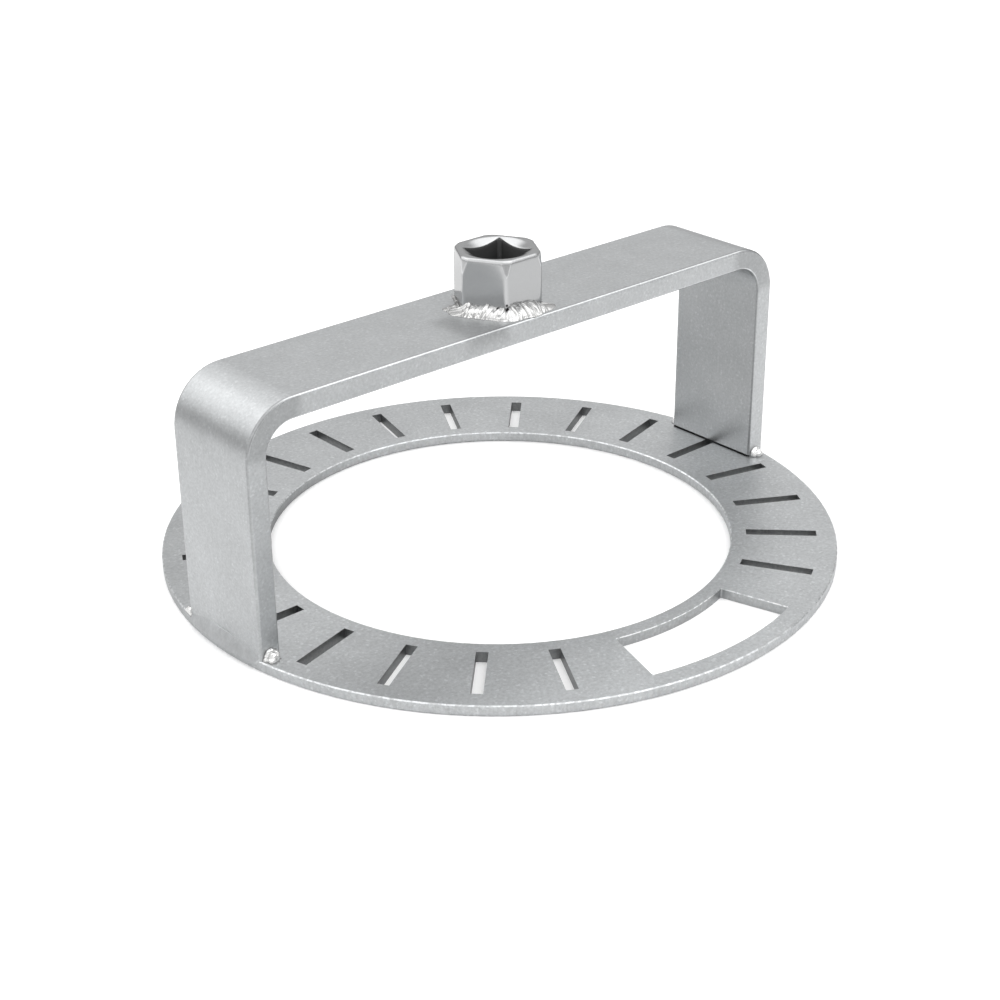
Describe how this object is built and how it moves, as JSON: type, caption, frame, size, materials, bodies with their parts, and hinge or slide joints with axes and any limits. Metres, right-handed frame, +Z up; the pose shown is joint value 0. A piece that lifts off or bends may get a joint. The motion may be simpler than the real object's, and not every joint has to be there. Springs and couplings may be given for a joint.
{
  "type": "fuel tank lock ring wrench",
  "caption": "Slotted flat steel ring with a welded bridge handle and a square-drive hexagonal socket, for turning a fuel tank lock ring.",
  "frame": {"origin": "centre of the ring on its underside, which is the bottom centre of the whole tool", "axes": "+Z up along the drive axis, +X along the bridge from leg to leg, the window in the ring at -Y"},
  "size_m": [0.1914, 0.19, 0.086],
  "materials": {
    "ring_plate": "satin plated laser-cut plate, fine speckle",
    "bridge_bar": "satin plated flat bar, lightly brushed along its length",
    "drive_socket": "bright plated, polished",
    "weld_metal": "bright rippled weld bead under the plating",
    "ground_weld": "weld ground flush, fine grinding marks"
  },
  "bodies": {
    "root": {"slotted_ring": "ring_plate", "bridge_bar": "bridge_bar", "drive_socket": "drive_socket", "socket_weld": "weld_metal", "left_outer_weld": "ground_weld", "right_outer_weld": "ground_weld", "left_front_weld": "weld_metal", "left_rear_weld": "weld_metal", "right_front_weld": "weld_metal", "right_rear_weld": "weld_metal"}
  },
  "joints": []
}
